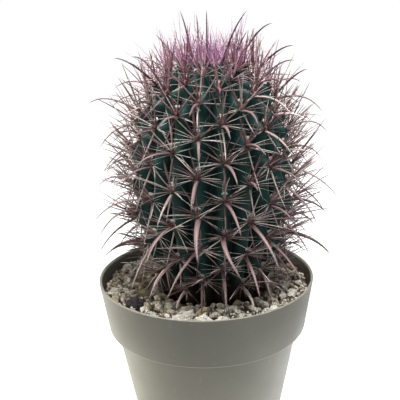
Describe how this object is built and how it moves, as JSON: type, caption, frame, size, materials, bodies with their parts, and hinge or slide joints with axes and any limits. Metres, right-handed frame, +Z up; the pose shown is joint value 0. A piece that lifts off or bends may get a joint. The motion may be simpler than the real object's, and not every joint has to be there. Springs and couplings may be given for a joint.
{
  "type": "potted barrel cactus",
  "caption": "Round ribbed barrel cactus with long pink-grey spines, in a round plastic pot with a deep rim band and a pumice top dressing.",
  "frame": {"origin": "centre of the pot's foot, on the surface it stands on", "axes": "+Z up along the plant; -Y is the front that the picture shows, +X is to its right"},
  "size_m": [0.1961, 0.197, 0.3559],
  "materials": {
    "pot_plastic": "matte",
    "potting_soil": "matte",
    "pumice": "matte",
    "lava": "matte",
    "cactus_skin": "satin",
    "spines": "satin",
    "young_spines": "satin",
    "wool": "matte"
  },
  "bodies": {
    "root": {"pot": "pot_plastic", "soil": "potting_soil", "gravel": "pumice", "lava_stone_1": "lava", "lava_stone_2": "lava", "cactus": "cactus_skin"}
  },
  "joints": []
}
